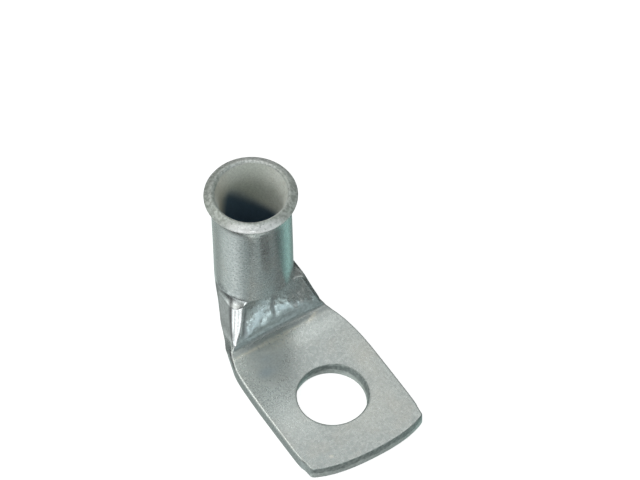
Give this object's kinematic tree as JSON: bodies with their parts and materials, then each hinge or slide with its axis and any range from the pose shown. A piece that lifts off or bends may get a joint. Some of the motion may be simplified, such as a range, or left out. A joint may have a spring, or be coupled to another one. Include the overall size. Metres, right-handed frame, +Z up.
{
  "type": "right-angle cable lug",
  "caption": "Tubular compression cable lug bent square: a round barrel with a belled mouth stands on a flat palm with a stud hole.",
  "frame": {"origin": "axis of the stud hole, on the underside of the palm", "axes": "+Z up out of the palm, along the stud hole and the barrel; +X along the palm from the barrel to the cropped end; +Y across the palm"},
  "size_m": [0.0394, 0.0196, 0.0281],
  "materials": {
    "tinned_copper": "satin tin plating over copper, finely mottled"
  },
  "bodies": {
    "root": {"cable_lug": "tinned_copper"}
  },
  "joints": []
}
